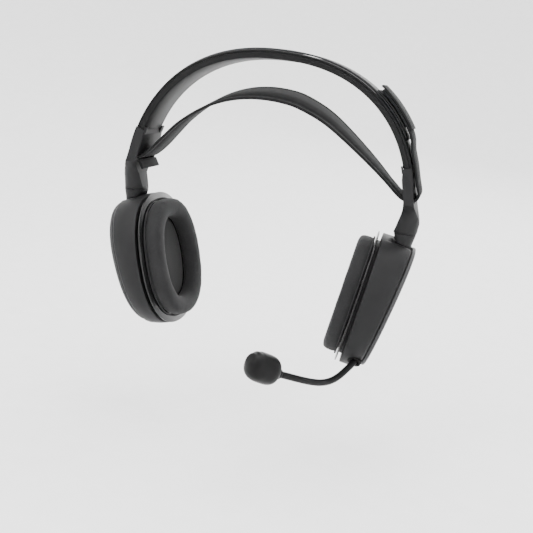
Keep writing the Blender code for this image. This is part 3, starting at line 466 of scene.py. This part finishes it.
@dataclass
class Headband:
    """The arch, its skin, the hangers and the suspension strap."""

    half_width: float = 99.3 * MM
    height: float = 99.75 * MM
    exponent: float = 2.25
    sleeve_top: float = 38.2 * MM
    half_depth: float = 17.75 * MM
    thickness: float = 5.5 * MM
    channel_floor: float = -3.3 * MM
    channel_half: float = 11.3 * MM
    skin_end: float = math.radians(60.0)
    strap_width: float = 32.0 * MM
    strap_thickness: float = 1.8 * MM
    strap_stack: float = 4.5 * MM
    tab_start: float = math.radians(37.0)
    tab_end: float = math.radians(57.0)

    STRAP_ROUTE = ((-0.9567, 16.6), (-0.9215, 17.0), (-0.8812, 19.8), (-0.8258, 25.6), (-0.7452, 35.6),
                   (-0.6697, 44.6), (-0.5639, 54.0), (-0.4582, 61.2), (-0.3424, 66.6), (-0.2216, 70.0),
                   (-0.0906, 71.5), (0.0403, 71.0), (0.1511, 68.8), (0.3122, 62.3), (0.4602, 53.0),
                   (0.6697, 37.2), (0.8258, 23.9), (0.8812, 19.3), (0.9215, 16.9), (0.9567, 16.5),
                   (0.9909, 16.7), (1.0131, 18.2), (1.0181, 21.5))
    TAIL = ((76.0, 2.2), (70.0, 2.0), (64.5, 2.2), (60.5, 3.9), (57.0, 4.5), (50.0, 4.5), (43.5, 4.5),
            (38.4, 4.5))

    def point(self, angle: float, offset: float) -> Vector:
        """A point (x, z) on the arch, counted from its centre.

        Args:
            angle: the angle from the top.
            offset: the distance out from the arch's outer face.

        Returns:
            The point, as two numbers in metres.
        """
        power = 2 / self.exponent
        x = self.half_width * math.copysign(abs(math.sin(angle)) ** power, math.sin(angle))
        z = self.height * abs(math.cos(angle)) ** power
        slope = Vector((math.copysign(abs(x / self.half_width) ** (self.exponent - 1), x) / self.half_width,
                        abs(z / self.height) ** (self.exponent - 1) / self.height)).normalized()
        return Vector((x, z)) + offset * slope

    def ring(self, angle: float, section: Sequence[Sequence[float]]) -> list:
        """A section of the arch as points in space; the section is (y, offset) in metres."""
        made = []
        for y, offset in section:
            place = self.point(angle, offset)
            made.append(Vector((place.x, y, place.y)) + HUB)
        return made

    def angles(self, start: float, stop: float, count: int) -> list:
        """Evenly spaced angles, ends included."""
        return [start + (stop - start) * i / count for i in range(count + 1)]

    def build(self) -> None:
        """Build every piece of the headband."""
        self.build_arch()
        self.build_skin()
        self.build_hangers()
        self.build_strap()
        self.build_fastening()

    def build_arch(self) -> None:
        """The channel, with a fine groove beside each outer edge."""
        end = math.acos((self.sleeve_top / self.height) ** (self.exponent / 2))
        cover = self.skin_end - math.radians(1.5)
        turns = self.angles(-end, end, 150)
        turns = sorted(turns + [-cover - 0.0005, -cover + 0.0005, cover - 0.0005, cover + 0.0005])
        rows = []
        for angle in turns:
            floor = self.channel_floor if abs(angle) < cover else -0.02 * MM
            rows.append(self.ring(angle, self.channel_section(floor)))
        arch = skin_over("arch_band", rows, degrees=30.0)
        dress(arch, ARCH_SATIN, "arch_metal", "headband", "arch_channel")

    def channel_section(self, floor: float) -> list:
        """The arch's cross-section, with its hollow down to a floor.

        Args:
            floor: the offset of the hollow's floor.

        Returns:
            The section's points (y, offset).
        """
        y, low, inner = self.half_depth, -self.thickness, self.channel_half
        half = [(0.0, low), (y - 1.1 * MM, low), (y - 0.4 * MM, low + 0.25 * MM), (y, low + 0.95 * MM),
                (y, -1.75 * MM), (y - 0.55 * MM, -1.6 * MM), (y - 0.55 * MM, -1.15 * MM), (y, -1.0 * MM),
                (y, -0.6 * MM), (y - 0.2 * MM, -0.15 * MM), (y - 0.7 * MM, 0.0), (inner, 0.0),
                (inner - 0.01 * MM, floor)]
        return half + [(-a, b) for a, b in reversed(half[1:])]

    def build_skin(self) -> None:
        """The outer skin laid over the arch, with rounded edges and ends."""
        rows = []
        end = self.skin_end
        for angle in self.angles(-end, end, 130):
            left = (end - abs(angle)) * self.half_width
            pull = 3.0 * MM
            trim = pull * (1 - math.sqrt(max(0.0, 1 - (1 - min(1.0, left / pull)) ** 2)))
            half = 12.5 * MM - trim
            low, high = 0.3 * MM, 1.4 * MM
            section = [(-half, low), (half, low), (half, high - 0.5 * MM),
                       (half - 0.15 * MM, high - 0.15 * MM), (half - 0.5 * MM, high),
                       (-half + 0.5 * MM, high), (-half + 0.15 * MM, high - 0.15 * MM),
                       (-half, high - 0.5 * MM)]
            rows.append(self.ring(angle, section))
        skin = skin_over("arch_skin", rows, degrees=50.0)
        dress(skin, SKIN_GREY, "arch_skin", "headband", "arch_outer_skin")

    def build_hangers(self) -> None:
        """Both hangers, with their edges rounded, and the bar the strap is looped on."""
        for side in Side:
            name = "hanger_" + side.word
            piece = refined(name, name + "_moulding", 0.7 * MM)
            dress(piece, GRAPHITE, "graphite_plastic", "headband", name)
        bar = refined("strap_anchor_right", "strap_bar", 0.5 * MM)
        dress(bar, DARK_PLASTIC, "black_plastic", "headband", "strap_anchor_right")

    def strap_line(self) -> list:
        """The strap's middle line.

        Returns:
            Points (x, z) from the arch's centre.
        """
        crown = [Vector((x * self.half_width, z * MM)) for x, z in self.STRAP_ROUTE]
        tail = [self.point(math.radians(a), o * MM) for a, o in self.TAIL]
        return catmull(crown + tail, 5)

    def rise(self, x: float) -> float:
        """How steeply the strap's rear edge rises at a place across the head."""
        return 0.24 * max(0.0, 1 - (x / (0.8 * self.half_width)) ** 2)

    def build_strap(self) -> None:
        """The elastic strap: a thin band with bound edges and a doubled seam near its front."""
        line = self.strap_line()
        crown_end = len(self.STRAP_ROUTE) * 5
        thick = self.strap_thickness / 2
        half = self.strap_width / 2
        seams = (-12.9 * MM, -11.2 * MM, 12.9 * MM)
        top = self.band_profile(half, thick, seams)
        rows = []
        for index, point in enumerate(line):
            before, after = line[max(0, index - 1)], line[min(len(line) - 1, index + 1)]
            way = (after - before).normalized()
            normal = Vector((-way.y, way.x))
            slope = self.rise(point.x) if index < crown_end else 0.0
            rows.append([Vector((point.x + normal.x * h, y, point.y + normal.y * h + slope * y)) + HUB
                         for y, h in top])
        strap = skin_over("strap_band", rows, degrees=60.0)
        dress(strap, WEBBING, "strap_fabric", "headband", "suspension_strap")

    def band_profile(self, half: float, thick: float, seams: Sequence[float]) -> list:
        """A band's closed profile, with sunk seams on both faces.

        Args:
            half: half the band's width.
            thick: half its thickness.
            seams: where the seams run across it.

        Returns:
            The profile's points (y, height).
        """
        upper = [(-half, 0.0), (-half + 0.2 * MM, thick * 0.75), (-half + 0.7 * MM, thick)]
        for y in sorted(seams):
            upper += [(y - 0.45 * MM, thick), (y - 0.2 * MM, thick - 0.22 * MM),
                      (y + 0.2 * MM, thick - 0.22 * MM), (y + 0.45 * MM, thick)]
        upper += [(half - 0.7 * MM, thick), (half - 0.2 * MM, thick * 0.75), (half, 0.0)]
        lower = [(y, -h) for y, h in reversed(upper[1:-1])]
        return upper + lower

    def build_fastening(self) -> None:
        """The hook patch, the tab that closes the strap's tail and the hem on the other side."""
        patch = self.band_on_arch("strap_hook_patch", self.tab_start, math.radians(55.0), 1.7 * MM,
                                  2.5 * MM, 12.5 * MM)
        dress(patch, HOOKS, "hook_patch", "headband", "hook_patch_left")
        low = self.strap_stack + self.strap_thickness / 2 + 0.3 * MM
        tab = self.band_on_arch("strap_tail_tab", self.tab_start, self.tab_end, low, low + 1.1 * MM,
                                16.0 * MM)
        dress(tab, WEBBING, "strap_fabric", "headband", "strap_tab_left")
        hem = refined("strap_hem_right", "strap_folded_hem", 0.4 * MM)
        dress(hem, WEBBING, "strap_fabric", "headband", "strap_hem_right")

    def band_on_arch(self, name: str, start: float, stop: float, low: float, high: float,
                     half: float) -> bpy.types.Object:
        """A short soft band that follows the arch, with rounded edges.

        Args:
            name: the piece's name.
            start: the angle it begins at.
            stop: the angle it ends at.
            low: the offset of its inner face.
            high: the offset of its outer face.
            half: half its width.

        Returns:
            The band.
        """
        soft = (high - low) * 0.35
        section = [(-half, low), (half, low), (half, high - soft), (half - soft, high),
                   (half - 1.5 * MM, high), (half - 1.8 * MM, high - 0.18 * MM),
                   (half - 2.1 * MM, high), (-half + 2.1 * MM, high),
                   (-half + 1.8 * MM, high - 0.18 * MM), (-half + 1.5 * MM, high), (-half + soft, high),
                   (-half, high - soft)]
        rows = [self.ring(angle, section) for angle in self.angles(start, stop, 30)]
        return skin_over(name, rows, degrees=60.0)


# ---------------------------------------------------------------- ear cups

@dataclass
class EarCup:
    """One ear cup with its yoke, plate, flange, cushion and cloth."""

    side: Side
    tilt: float
    swivel: float
    inward: float = 16.35 * MM
    back: float = 2.0 * MM
    drop: float = 42.67 * MM
    half_height: float = 46.6 * MM
    half_width: float = 37.3 * MM
    thickness: float = 17.4 * MM
    wedge: float = math.tan(math.radians(5.2))
    squareness: float = 2.3
    count: int = 96

    @property
    def body(self) -> str:
        """The body that the cup's pieces ride on."""
        return "cup_" + self.side.word

    def matrix(self) -> Matrix:
        """The cup's frame at rest.

        Returns:
            The turn by its swivel, then by its tilt, about its pivot.
        """
        sign = self.side.value
        pivot = Vector((sign * PIVOT.x, PIVOT.y, PIVOT.z))
        return (Matrix.Translation(pivot) @ Matrix.Rotation(sign * self.swivel, 4, "Z")
                @ Matrix.Rotation(sign * self.tilt, 4, "Y"))

    def spot(self, n: float, y: float, v: float) -> Vector:
        """A point n out, y back and v up from the middle of the cup's open side."""
        return self.matrix() @ Vector((self.side.value * (n - self.inward), y + self.back, v - self.drop))

    def oval(self, n: float, inset: float, wedge: float = 0.0) -> list:
        """An evenly spaced ring of points round the cup.

        Args:
            n: how far out the ring lies.
            inset: how far it lies inside the cup's outline.
            wedge: the share of the outer face's slope.

        Returns:
            The ring's points.
        """
        turn = np.linspace(0, 2 * np.pi, 1441)
        power = 2 / self.squareness
        y = (self.half_width - inset) * np.sign(np.cos(turn)) * np.abs(np.cos(turn)) ** power
        v = (self.half_height - inset) * np.sign(np.sin(turn)) * np.abs(np.sin(turn)) ** power
        run = np.concatenate(([0], np.cumsum(np.hypot(np.diff(y), np.diff(v)))))
        marks = np.linspace(0, run[-1], self.count + 1)[:-1]
        ys, vs = np.interp(marks, run, y), np.interp(marks, run, v)
        return [self.spot(n + wedge * self.wedge * b, a, b) for a, b in zip(ys, vs)]

    def build(self) -> None:
        """Build the cup's pieces."""
        self.build_yoke()
        self.build_shell()
        self.build_plate()
        self.build_flange()
        self.build_cushion()
        self.build_cloth()

    def build_yoke(self) -> None:
        """The swivel yoke, with rounded edges."""
        node = "swivel_yoke_" + self.side.word
        dress(refined(node, node + "_moulding", 0.5 * MM), GRAPHITE, "graphite_plastic",
              "yoke_" + self.side.word, node)

    def build_shell(self) -> None:
        """The cup's body."""
        node = "cup_shell_" + self.side.word
        dress(refined(node, node + "_moulding", 0.25 * MM, 2, 45.0), GRAPHITE, "graphite_plastic",
              self.body, node)

    def build_plate(self) -> None:
        """The speaker plate: a rounded rim, a fine step and a slightly sunk middle."""
        low = self.thickness + 0.3 * MM
        high = low + 2.6 * MM
        steps = ((low, 3.4), (low + 0.15 * MM, 3.1), (low + 0.4 * MM, 3.0), (high - 0.8 * MM, 3.0),
                 (high - 0.25 * MM, 3.35), (high, 4.1), (high, 6.2), (high - 0.35 * MM, 6.45),
                 (high - 0.35 * MM, 6.9), (high - 0.1 * MM, 7.1), (high - 0.1 * MM, 20.0),
                 (high - 0.1 * MM, 34.0))
        rows = [self.oval(n, inset * MM, 1.0) for n, inset in steps]
        plate = skin_over("speaker_plate_%s_cover" % self.side.word, rows, degrees=40.0)
        dress(plate, PLATE_GREY, "speaker_plate", self.body, "speaker_plate_" + self.side.word)

    def build_flange(self) -> None:
        """The thin glossy flange that carries the cushion."""
        low, high = -3.5 * MM, -2.6 * MM
        steps = ((low, 0.25), (low + 0.25 * MM, 0.0), (high - 0.25 * MM, 0.0), (high, 0.25), (high, 15.7),
                 (low, 15.7))
        rows = [self.oval(n, inset * MM) for n, inset in steps]
        flange = skin_over("cushion_flange_%s_ring" % self.side.word, rows, round_along=True, degrees=50.0)
        dress(flange, GLOSS, "gloss_flange", self.body, "cushion_flange_" + self.side.word)

    def build_cushion(self) -> None:
        """The ear cushion: a padded ring, swollen by a cloth simulation, with a welt round it."""
        back, face = -3.8 * MM, -15.8 * MM
        steps = ((back, 6.2), (back - 2.2 * MM, 5.2), (face + 4.6 * MM, 5.2), (face + 2.2 * MM, 6.2),
                 (face + 0.9 * MM, 9.2), (face + 0.9 * MM, 13.6), (face + 2.4 * MM, 16.6),
                 (face + 5.4 * MM, 17.8), (back - 1.0 * MM, 18.0), (back, 17.0))
        rows = [self.oval(n, inset * MM) for n, inset in steps]
        name = "ear_cushion_%s_pad" % self.side.word
        pad = skin_over(name, rows, round_along=True)
        puff(pad, 3.0 * MM, 4.0, 1.4 * MM)
        self.settle(pad, back, face)
        smooth(pad, 180.0)
        dress(pad, KNIT, "cushion_cover", self.body, "ear_cushion_" + self.side.word)
        self.build_welt(back)

    def settle(self, pad: bpy.types.Object, back: float, face: float) -> None:
        """Keep the pad's back flat on the flange and its face within its depth.

        Args:
            pad: the swollen cushion.
            back: how far out its back lies.
            face: how far out its face lies.
        """
        inverse = self.matrix().inverted()
        points = coordinates(pad)
        sign = self.side.value
        for index, row in enumerate(points):
            local = inverse @ Vector(row)
            n = sign * local.x + self.inward
            local.x = sign * (min(max(n, face - 0.5 * MM), back) - self.inward)
            points[index] = self.matrix() @ local
        place_points(pad, points)

    def build_welt(self, back: float) -> None:
        """The sewn welt where the cushion's cover meets the flange.

        Args:
            back: how far out the cushion's back lies.
        """
        rows = []
        for i in range(10):
            turn = 2 * math.pi * i / 10
            rows.append(self.oval(back - 1.0 * MM + 0.6 * MM * math.cos(turn),
                                  4.7 * MM + 0.6 * MM * math.sin(turn)))
        welt = skin_over("cushion_welt_" + self.side.word, rows, round_along=True, degrees=180.0)
        dress(welt, KNIT, "cushion_cover", self.body)

    def build_cloth(self) -> None:
        """The thin cloth inside the cushion, bowed a little towards the speaker."""
        base = -4.7 * MM
        steps = [(base + 0.9 * MM, 19.3), (base, 19.3)]
        steps += [(base + 0.5 * MM * (1 - ((36.5 - inset) / 17.2) ** 2), inset)
                  for inset in (21.0, 24.0, 27.0, 30.0, 33.0, 35.5)]
        rows = [self.oval(n, inset * MM) for n, inset in steps]
        cloth = skin_over("ear_cloth_%s_panel" % self.side.word, rows, degrees=60.0)
        dress(cloth, CLOTH, "ear_cloth", self.body, "ear_cloth_" + self.side.word)


def puff(pad: bpy.types.Object, voxel: float, pressure: float, cap: float) -> None:
    """Swell a pad with a cloth simulation and keep the result as its mesh.

    Args:
        pad: the closed piece.
        voxel: the remesh's cell size, in metres.
        pressure: the air pressure inside.
        cap: how far a point may move, in metres.
    """
    select_only(pad)
    pad.data.remesh_voxel_size = voxel
    bpy.ops.object.voxel_remesh()
    rest = coordinates(pad)
    cloth = pad.modifiers.new("puff", "CLOTH")
    cloth.settings.use_pressure = True
    cloth.settings.uniform_pressure_force = pressure
    cloth.settings.effector_weights.gravity = 0.0
    for step in range(1, 21):
        bpy.context.scene.frame_set(step)
    bpy.ops.object.modifier_apply(modifier="puff")
    bpy.context.scene.frame_set(1)
    moved = coordinates(pad) - rest
    far = np.linalg.norm(moved, axis=1, keepdims=True)
    place_points(pad, rest + moved * np.minimum(1.0, cap / np.maximum(far, 1e-9)))
    modify(pad, "SUBSURF", levels=1, render_levels=1)


# ---------------------------------------------------------------- controls

@dataclass
class Controls:
    """The wheels, buttons and sockets in the cups' edges."""

    left: EarCup
    right: EarCup
    control_out: float = 9.0 * MM
    wheel_radius: float = 8.0 * MM
    proud: float = 1.6 * MM
    teeth: int = 36

    def build(self) -> None:
        """Build every control."""
        self.build_wheel(self.left, "volume_wheel")
        self.build_wheel(self.right, "balance_wheel")
        for name in ("mute_button", "power_button"):
            dress(refined(name, name + "_cap", 0.5 * MM), RUBBER, "black_rubber", name, name)
        for name in ("usb_socket", "audio_socket"):
            dress(refined(name, name + "_frame", 0.15 * MM), STEEL, "steel", "cup_left", name)

    def build_wheel(self, cup: EarCup, name: str) -> None:
        """A wheel with a toothed rim.

        Args:
            cup: the cup it turns in.
            name: its node.
        """
        height = 2.0 * MM
        wall = cup.half_width * (1 - (height / cup.half_height) ** cup.squareness) ** (1 / cup.squareness)
        centre = wall + self.proud - self.wheel_radius
        count = self.teeth * 4
        rows = []
        for out, inset, tooth in ((-2.2, 0.9, 0.0), (-2.2, 0.45, 0.0), (-1.8, 0.0, 1.0), (1.8, 0.0, 1.0),
                                  (2.2, 0.45, 0.0), (2.2, 0.9, 0.0)):
            ring = []
            for i in range(count):
                turn = 2 * math.pi * i / count
                notch = 0.35 * tooth if i % 4 in (0, 1) else 0.0
                radius = self.wheel_radius - (inset + notch) * MM
                ring.append(cup.spot(self.control_out + out * MM, centre + radius * math.cos(turn),
                                     height + radius * math.sin(turn)))
            rows.append(ring)
        dress(skin_over(name + "_rim", rows, degrees=30.0), RUBBER, "black_rubber", name, name)


# ---------------------------------------------------------------- boom microphone

@dataclass
class Boom:
    """The gooseneck with its grommet, collar and covered microphone."""

    axis_x: float = 97.5 * MM
    radius: float = 2.2 * MM
    root: float = 13.0 * MM
    segments: int = 5
    around: int = 20
    cover_long: float = 11.0 * MM
    cover_wide: float = 9.4 * MM
    cover_deep: float = 9.0 * MM

    ROUTE = ((-19.3, -20.0, -89.2), (-19.0, -26.0, -93.6), (-23.9, -36.0, -99.3), (-27.8, -43.0, -102.3),
             (-31.8, -50.0, -103.3), (-36.0, -57.0, -102.6), (-40.4, -63.5, -100.9), (-44.8, -69.5, -98.8),
             (-49.1, -75.0, -96.6), (-53.5, -80.0, -94.5), (-57.9, -85.0, -92.4))
    HEAD = (-67.8, -94.0, -87.4)

    def spot(self, point: Sequence[float]) -> Vector:
        """A point given in millimetres from the swivel axis, in space."""
        x, y, z = point
        return Vector((self.axis_x + x * MM, y * MM, z * MM)) + HUB

    def build(self) -> None:
        """Build the boom's pieces."""
        self.line = catmull([self.spot(p) for p in self.ROUTE], 6)
        self.runs = [0.0]
        for a, b in zip(self.line, self.line[1:]):
            self.runs.append(self.runs[-1] + (b - a).length)
        self.build_sleeves()
        grommet = refined("boom_bush", "boom_grommet", 0.6 * MM)
        dress(grommet, RUBBER, "black_rubber", "cup_left", "boom_bush")
        self.build_head()

    def at(self, run: float) -> Vector:
        """The point a distance along the boom.

        Args:
            run: the distance from its start, in metres.

        Returns:
            The point.
        """
        index = max(k for k in range(len(self.runs) - 1) if self.runs[k] <= run + 1e-9)
        share = (run - self.runs[index]) / (self.runs[index + 1] - self.runs[index])
        return self.line[index].lerp(self.line[index + 1], share)

    def build_sleeves(self) -> None:
        """A smooth sleeve in lengths that meet in the middle of each stiff stretch and bend between."""
        whole = self.runs[-1]
        step = (whole - self.root) / self.segments
        joints = [self.root + i * step for i in range(self.segments)]
        cuts = [0.0] + [j + step / 2 for j in joints[:-1]] + [whole]
        nodes = ["boom_root"] + ["boom_segment_%d" % (i + 1) for i in range(self.segments)]
        for index, (start, stop) in enumerate(zip(cuts, cuts[1:])):
            rows = [self.circle(start + (stop - start) * i / 24) for i in range(25)]
            sleeve = skin_over("boom_sleeve_%d" % index, rows, degrees=60.0)
            gone = nodes[index:index + 1] if index < self.segments - 1 else nodes[index:]
            dress(sleeve, SLEEVE, "boom_sleeve", None, *gone)
            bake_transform(sleeve)

    def circle(self, run: float) -> list:
        """A ring of points round the boom's line.

        Args:
            run: the distance along the boom, in metres.

        Returns:
            The ring's points.
        """
        ahead = min(run + 0.4 * MM, self.runs[-1])
        behind = max(run - 0.4 * MM, 0.0)
        way = (self.at(ahead) - self.at(behind)).normalized()
        turn = way.to_track_quat("Z", "Y").to_matrix()
        centre = self.at(run)
        return [centre + turn @ Vector((self.radius * math.cos(a), self.radius * math.sin(a), 0))
                for a in [2 * math.pi * i / self.around for i in range(self.around)]]

    def build_head(self) -> None:
        """The stepped collar and the rounded, faintly wrinkled microphone cover."""
        centre = self.spot(self.HEAD)
        start = self.line[-1]
        along = (centre - start).normalized()
        turn = Matrix.Translation(start) @ along.to_track_quat("Z", "X").to_matrix().to_4x4()
        rings = ((0.3, 2.3), (0.35, 3.1), (0.7, 3.4), (2.4, 3.4), (2.6, 3.0), (3.0, 3.0), (3.2, 3.4),
                 (5.0, 3.4), (5.28, 3.2), (5.3, 2.4))
        rows = [self.hoop(turn, h * MM, r * MM, r * MM) for h, r in rings]
        dress(skin_over("microphone_collar", rows, degrees=35.0), DARK_PLASTIC, "black_plastic", "boom_5",
              "mic_neck")
        middle = (centre - start).length
        rows = []
        for i in range(41):
            t = -math.cos(math.pi * i / 40)
            power = 3.6 if t < 0 else 2.7
            share = max(0.0, 1 - abs(t) ** power) ** (1 / power)
            rows.append(self.hoop(turn, middle + self.cover_long * t, self.cover_wide * share,
                                  self.cover_deep * share, 64))
        cover = skin_over("microphone_cover", rows, degrees=180.0)
        self.wrinkle(cover, turn, middle)
        dress(cover, SOFT_COVER, "windscreen_foam", "boom_5", "windscreen")

    def hoop(self, turn: Matrix, height: float, wide: float, deep: float, count: int = 32) -> list:
        """An ellipse of points across the boom's end."""
        return [turn @ Vector((wide * math.cos(a), deep * math.sin(a), height))
                for a in [2 * math.pi * i / count for i in range(count)]]

    def wrinkle(self, cover: bpy.types.Object, turn: Matrix, middle: float) -> None:
        """Press wrinkles into the cover's far upper side and a dimple into its front.

        Args:
            cover: the microphone's cover.
            turn: the frame at the boom's end, with Z along it.
            middle: how far along the cover's middle lies.
        """
        inverse = turn.inverted()
        upper = Vector((-0.35, -0.45, 0.82)).normalized()
        front = Vector((0.12, -0.99, -0.05)).normalized()
        core = turn @ Vector((0.0, 0.0, middle))
        points = coordinates(cover)
        for index, row in enumerate(points):
            way = (Vector(row) - core).normalized()
            local = inverse @ Vector(row)
            far = max(0.0, (local.z - middle) / self.cover_long)
            ripple = math.sin(local.z / (0.55 * MM) + 2.0 * math.sin(local.x / (3.3 * MM)))
            crease = max(0.0, way.dot(upper) - 0.45) / 0.55
            dent = max(0.0, way.dot(front) - 0.93) / 0.07
            size = 1 + 0.030 * ripple * far ** 1.1 * crease - 0.035 * dent ** 1.5
            points[index] = core + (Vector(row) - core) * size
        place_points(cover, points)


# ---------------------------------------------------------------- inner pieces, light and camera

INNER = {
    "arch_spring_strip": STEEL, "circuit_board": BOARD, "battery": FOIL, "mic_housing": DARK_PLASTIC,
    "mic_capsule": STEEL,
}
INNER_PAIRS = {
    "swivel_pin": BLACK_STEEL, "tilt_pin": BLACK_STEEL, "baffle": DARK_PLASTIC,
    "driver_basket": DARK_PLASTIC, "driver_magnet": STEEL, "driver_diaphragm": FILM,
}


def finish_inner_pieces() -> None:
    """Give the nodes that stay their finishes."""
    pairs = {"%s_%s" % (name, side.word): finish for name, finish in INNER_PAIRS.items() for side in Side}
    for name, finish in {**INNER, **pairs}.items():
        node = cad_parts[name]
        node.data.materials.clear()
        node.data.materials.append(finish.material())
        LOG.info("%s: finish %s", name, finish.name)


@dataclass
class Studio:
    """The pale floor, soft lights and the camera."""

    lens: float = 58.43
    floor_z: float = -0.235

    def build(self) -> None:
        """Build the stage."""
        self.build_floor()
        self.build_lights()
        self.build_camera()

    def build_floor(self) -> None:
        """A wide pale floor that sweeps up into a backdrop all round."""
        bpy.ops.object.select_all(action="DESELECT")
        bpy.ops.mesh.primitive_grid_add(x_subdivisions=80, y_subdivisions=80, size=8.0)
        floor = bpy.context.active_object
        floor.name = "floor"
        points = coordinates(floor)
        beyond = np.maximum(0.0, np.hypot(points[:, 0], points[:, 1]) - 0.6)
        points[:, 2] = self.floor_z + 0.30 * beyond ** 2
        place_points(floor, points)
        smooth(floor, 180.0)
        floor.data.materials.append(PALE.material())

    def build_lights(self) -> None:
        """Big soft panels above, in front and at the sides, under a white sky."""
        sky = bpy.data.worlds.new("white_sky")
        sky.use_nodes = True
        sky.node_tree.nodes["Background"].inputs["Color"].default_value = (1.0, 1.0, 1.0, 1.0)
        sky.node_tree.nodes["Background"].inputs["Strength"].default_value = 2.6
        bpy.context.scene.world = sky
        panels = (("key_panel", (-0.55, -0.75, 0.65), 0.7, 9.0),
                  ("fill_panel", (0.75, -0.55, 0.25), 0.8, 3.0),
                  ("top_panel", (0.05, 0.15, 0.85), 0.9, 9.0),
                  ("rear_panel", (0.2, 0.9, 0.45), 0.8, 5.0))
        target = Vector((0, 0, -0.07))
        for name, place, size, power in panels:
            light = bpy.data.lights.new(name, "AREA")
            light.size = size
            light.energy = power
            lamp = bpy.data.objects.new(name, light)
            lamp.location = place
            lamp.rotation_euler = (target - Vector(place)).to_track_quat("-Z", "Y").to_euler()
            bpy.context.scene.collection.objects.link(lamp)

    def build_camera(self) -> None:
        """The camera at its eye, turned by its own right and up."""
        view = bpy.data.cameras.new("view")
        view.lens = self.lens
        view.sensor_width = 36.0
        view.clip_start = 0.01
        camera = bpy.data.objects.new("view", view)
        behind = CAMERA_RIGHT.cross(CAMERA_UP)
        turn = Matrix((CAMERA_RIGHT, CAMERA_UP, behind)).transposed()
        camera.matrix_world = Matrix.Translation(CAMERA_EYE) @ turn.to_4x4()
        bpy.context.scene.collection.objects.link(camera)
        bpy.context.scene.camera = camera


def main() -> None:
    """Build the headset around its frame."""
    logging.basicConfig(level=logging.INFO, format="%(name)s %(message)s")
    Studio().build()
    Headband().build()
    left = EarCup(Side.LEFT, tilt=math.radians(9.9), swivel=math.radians(3.9))
    right = EarCup(Side.RIGHT, tilt=math.radians(16.9), swivel=math.radians(8.3))
    left.build()
    right.build()
    Controls(left, right).build()
    Boom().build()
    finish_inner_pieces()


if __name__ == "__main__":
    main()
